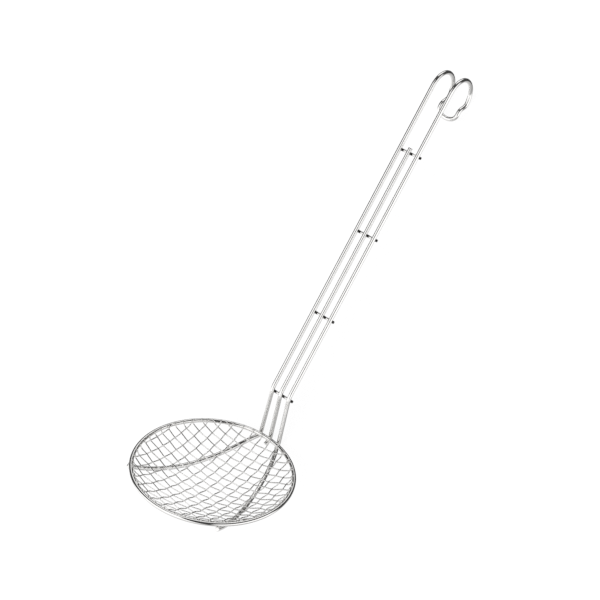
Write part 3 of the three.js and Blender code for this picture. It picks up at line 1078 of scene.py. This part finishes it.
def floor_paint():
    """White paper. A share of its white comes from the light that falls on it, and so keeps a soft
    shadow. The rest is its own to the camera, so that it is fully white where nothing shades it."""
    material = bpy.data.materials.new("white_paper")
    material.use_nodes = True
    tree = material.node_tree
    tree.nodes.clear()
    paper = new_node(tree, "ShaderNodeBsdfDiffuse")
    paper.inputs["Color"].default_value = (FLOOR_SHADE, FLOOR_SHADE, FLOOR_SHADE, 1.0)
    path = new_node(tree, "ShaderNodeLightPath")
    glow = new_node(tree, "ShaderNodeEmission")
    both = new_node(tree, "ShaderNodeAddShader")
    output = new_node(tree, "ShaderNodeOutputMaterial")
    lift = worked_out(tree, "MULTIPLY", path.outputs["Is Camera Ray"], FLOOR_GLOW)
    tree.links.new(lift, glow.inputs["Strength"])
    tree.links.new(paper.outputs["BSDF"], both.inputs[0])
    tree.links.new(glow.outputs["Emission"], both.inputs[1])
    tree.links.new(both.outputs["Shader"], output.inputs["Surface"])
    return material


floor_mesh.materials.append(floor_paint())
print("floor of", FLOOR_SIZE, "m laid")

# %% Hang the studio round it
PANEL_LIGHT = 1.2


def soft_panel(bearing, sides, leans, heights, edge):
    """A soft white panel. Its bearing, its sides and heights and the width of its edge are given in
    degrees, and each side leans by so many degrees for each degree of height."""
    return {
        "bearing": math.radians(bearing),
        "sides": [math.radians(side) for side in sides],
        "leans": leans,
        "heights": [math.radians(height) for height in heights],
        "edge": math.radians(edge),
    }


LEFT_PANEL = soft_panel(159, sides=(-43, 50), leans=(0.5, -0.55), heights=(-24, 68), edge=4)
RIGHT_PANEL = soft_panel(-93, sides=(-38, 45), leans=(0.0, -0.2), heights=(-27, 34), edge=7)
TOP_PANEL = soft_panel(32, sides=(-14, 11), leans=(-0.38, 0.65), heights=(36, 77), edge=7)
TABLE_EDGE = (math.radians(-18), math.radians(-24))
TABLE_BEARING = math.radians(90)
TABLE_LIGHT = (0.30, 1.05)
ROOM_LIGHT = 0.06


def level_direction(bearing):
    """The level direction of the basket's frame at a bearing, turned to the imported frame."""
    return basket_to_table @ np.array([math.cos(bearing), math.sin(bearing), 0.0])


def leaning(tree, ray, direction):
    """How far a ray leans towards a direction: the cosine of the angle between them."""
    dot = new_node(tree, "ShaderNodeVectorMath", operation="DOT_PRODUCT")
    dot.inputs[1].default_value = tuple(direction)
    tree.links.new(ray, dot.inputs[0])
    return dot.outputs["Value"]


def soft_step(tree, value, limits):
    """0 at the first limit and 1 at the second, with an S-curve between them."""
    step = new_node(tree, "ShaderNodeMapRange", interpolation_type="SMOOTHSTEP")
    rising = limits[0] < limits[1]
    step.inputs["From Min"].default_value = min(limits)
    step.inputs["From Max"].default_value = max(limits)
    step.inputs["To Min"].default_value = 0.0 if rising else 1.0
    step.inputs["To Max"].default_value = 1.0 if rising else 0.0
    tree.links.new(value, step.inputs["Value"])
    return step.outputs["Result"]


def between(tree, from_first, from_last, limits, edge):
    """1 between two limits and 0 outside them, with an S-curve at each. The first limit is compared with
    one value and the last limit with another."""
    first, last = limits
    past_first = soft_step(tree, from_first, (first - edge, first + edge))
    short_of_last = soft_step(tree, from_last, (last + edge, last - edge))
    return worked_out(tree, "MULTIPLY", past_first, short_of_last)


def panel_light(tree, ray, height, panel):
    """The light of a panel. The bearing of a ray from the panel's middle is an arc tangent of how far it
    leans aside and ahead. The panel reaches from side to side, its sides lean with the height, and all
    four edges are S-curves."""
    ahead = leaning(tree, ray, level_direction(panel["bearing"]))
    aside = leaning(tree, ray, level_direction(panel["bearing"] + math.pi / 2))
    turn = worked_out(tree, "ARCTAN2", aside, ahead)
    left, right = [worked_out(tree, "MULTIPLY_ADD", height, -lean, turn) for lean in panel["leans"]]
    across = between(tree, left, right, panel["sides"], panel["edge"])
    upright = between(tree, height, height, panel["heights"], panel["edge"])
    lit = worked_out(tree, "MULTIPLY", across, upright)
    return worked_out(tree, "MULTIPLY", lit, PANEL_LIGHT)


def table_light(tree, ray, height):
    """The light of the table: it starts below the level and is brightest at one bearing."""
    bright = new_node(tree, "ShaderNodeMapRange")
    bright.inputs["From Min"].default_value = -1.0
    bright.inputs["To Min"].default_value = TABLE_LIGHT[0]
    bright.inputs["To Max"].default_value = TABLE_LIGHT[1]
    tree.links.new(leaning(tree, ray, level_direction(TABLE_BEARING)), bright.inputs["Value"])
    return worked_out(tree, "MULTIPLY", bright.outputs["Result"], soft_step(tree, height, TABLE_EDGE))


def hang_studio():
    """The world: three soft white panels and a white table in a dark room, the brightest of them in each
    direction. To the camera itself all of it is white."""
    world = bpy.data.worlds.new("studio")
    bpy.context.scene.world = world
    world.use_nodes = True
    tree = world.node_tree
    background = tree.nodes["Background"]
    ray = new_node(tree, "ShaderNodeTexCoord").outputs["Generated"]
    upward = leaning(tree, ray, basket_to_table @ np.array([0.0, 0.0, 1.0]))
    height = worked_out(tree, "ARCSINE", upward)
    light = worked_out(tree, "MAXIMUM", table_light(tree, ray, height), ROOM_LIGHT)
    for panel in (LEFT_PANEL, RIGHT_PANEL, TOP_PANEL):
        light = worked_out(tree, "MAXIMUM", light, panel_light(tree, ray, height, panel))
    path = new_node(tree, "ShaderNodeLightPath")
    shown = mixed_colour(tree, path.outputs["Is Camera Ray"], light, (1.0, 1.0, 1.0))
    tree.links.new(shown, background.inputs["Color"])
    background.inputs["Strength"].default_value = 1.0


hang_studio()
bpy.context.scene.view_settings.view_transform = "Standard"
# A mesh wire is a pixel wide in the picture, and a denoiser takes lines that fine for noise.
bpy.context.scene.cycles.use_denoising = False
print("studio hung: three panels, a table and a dark room")
